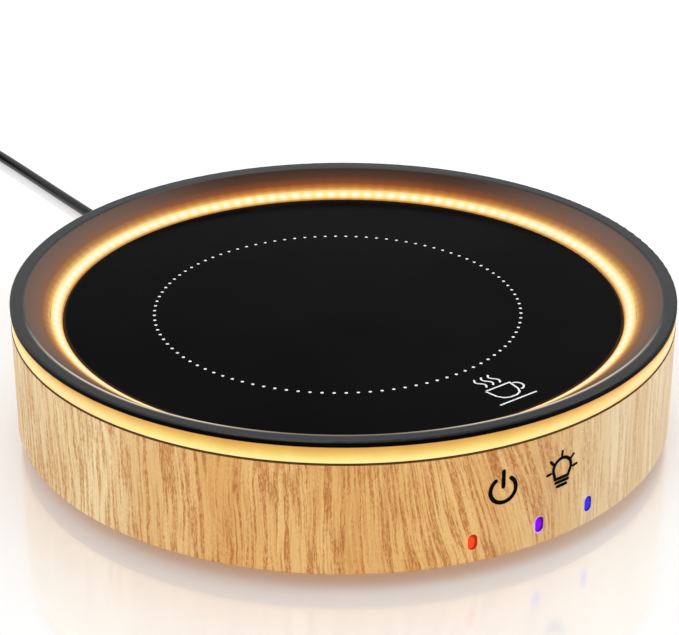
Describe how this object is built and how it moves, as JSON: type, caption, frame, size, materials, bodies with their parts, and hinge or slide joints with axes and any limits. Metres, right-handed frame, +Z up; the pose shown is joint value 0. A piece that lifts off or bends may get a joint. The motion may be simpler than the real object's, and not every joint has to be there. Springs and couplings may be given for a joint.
{
  "type": "electric mug warmer",
  "caption": "Round electric mug warmer with a wood-grain sleeve, black rim, glass heating plate, glowing light ring, touch keys and a mains cord.",
  "frame": {"origin": "middle of the warmer's round body, on the surface that its rubber feet stand on", "axes": "+Z up along the axis of the plate; the touch keys and indicator windows face the front, -Y, turned towards +X; the cord leaves at the back, 120 degrees from +X"},
  "size_m": [0.2338, 0.2702, 0.0347],
  "materials": {
    "wood_grain": "satin wood-grain film with fine reddish-brown pores",
    "black_satin": "satin black moulded plastic",
    "light_guide": "milky translucent plastic, lit warm white",
    "plate_glass": "black toughened glass with a soft gloss",
    "silicone": "grey silicone",
    "spreader": "rolled aluminium",
    "film": "amber polyimide film",
    "insulation": "glass fibre felt",
    "steel": "zinc-plated steel",
    "board": "green solder mask",
    "white_board": "white solder mask",
    "component": "black epoxy",
    "yellow_case": "yellow flame-retardant plastic",
    "green_case": "green terminal plastic",
    "ivory_case": "ivory nylon",
    "led_lamp": "clear resin over a lit chip",
    "foam": "conductive foam",
    "red_lens": "clear lens lit red",
    "purple_lens": "clear lens lit purple",
    "blue_lens": "clear lens lit blue",
    "base_plastic": "textured black plastic",
    "foot_rubber": "matt black rubber",
    "cord_jacket": "satin black sheath",
    "wire_white": "white insulation",
    "blade_metal": "nickel-plated brass"
  },
  "bodies": {
    "root": {"base_cover": "base_plastic", "base_screws": "steel", "blue_indicator_lens": "blue_lens", "board_screws": "steel", "cable_headers": "ivory_case", "clamp_screws": "steel", "control_board": "board", "cord_clamp": "black_satin", "cord_coil": "cord_jacket", "cord_tail": "cord_jacket", "electrolytic_capacitor": "component", "film_capacitor": "yellow_case", "glass_plate": "plate_glass", "heat_spreader": "spreader", "heater_cable": "wire_white", "heater_film": "film", "heater_pan": "steel", "indicator_leds": "led_lamp", "inductor": "component", "insulation_pad": "insulation", "led_board": "white_board", "led_cable": "wire_white", "leds": "led_lamp", "light_guide": "light_guide", "mains_cores": "wire_white", "mains_fuse": "steel", "mains_lead": "cord_jacket", "microcontroller": "component", "pan_screws": "steel", "plate_gasket": "silicone", "plug_blades": "blade_metal", "plug_body": "cord_jacket", "power_cord": "cord_jacket", "purple_indicator_lens": "purple_lens", "red_indicator_lens": "red_lens", "rubber_feet": "foot_rubber", "strain_relief": "cord_jacket", "temperature_sensor": "component", "terminal_block": "green_case", "thermal_fuse": "steel", "top_rim": "black_satin", "touch_board": "board", "touch_cable": "wire_white", "touch_pads": "foam", "triac": "component", "wood_sleeve": "wood_grain"}
  },
  "joints": []
}
